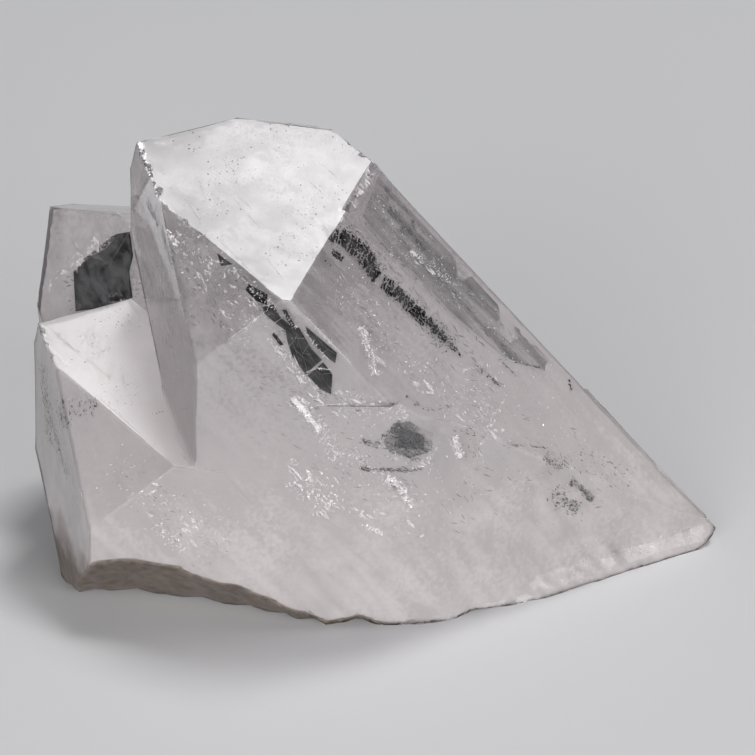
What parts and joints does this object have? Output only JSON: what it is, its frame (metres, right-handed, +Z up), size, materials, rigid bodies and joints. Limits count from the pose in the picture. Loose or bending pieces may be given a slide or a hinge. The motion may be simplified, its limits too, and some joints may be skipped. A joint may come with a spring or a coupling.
{
  "type": "clear quartz cluster",
  "caption": "Cluster of clear quartz crystals grown together side by side and leaning, with flat faces, one broken corner and a rough broken root.",
  "frame": {"origin": "middle of the part's box on the ground, below the cluster", "axes": "+X to the right, along the cluster's longest extent, from the stacked tips towards the tapering broken end; +Z up; the broad front faces look along -Y"},
  "size_m": [0.1, 0.0468, 0.0653],
  "materials": {
    "quartz": "polished"
  },
  "bodies": {
    "root": {"quartz_cluster": "quartz"}
  },
  "joints": []
}
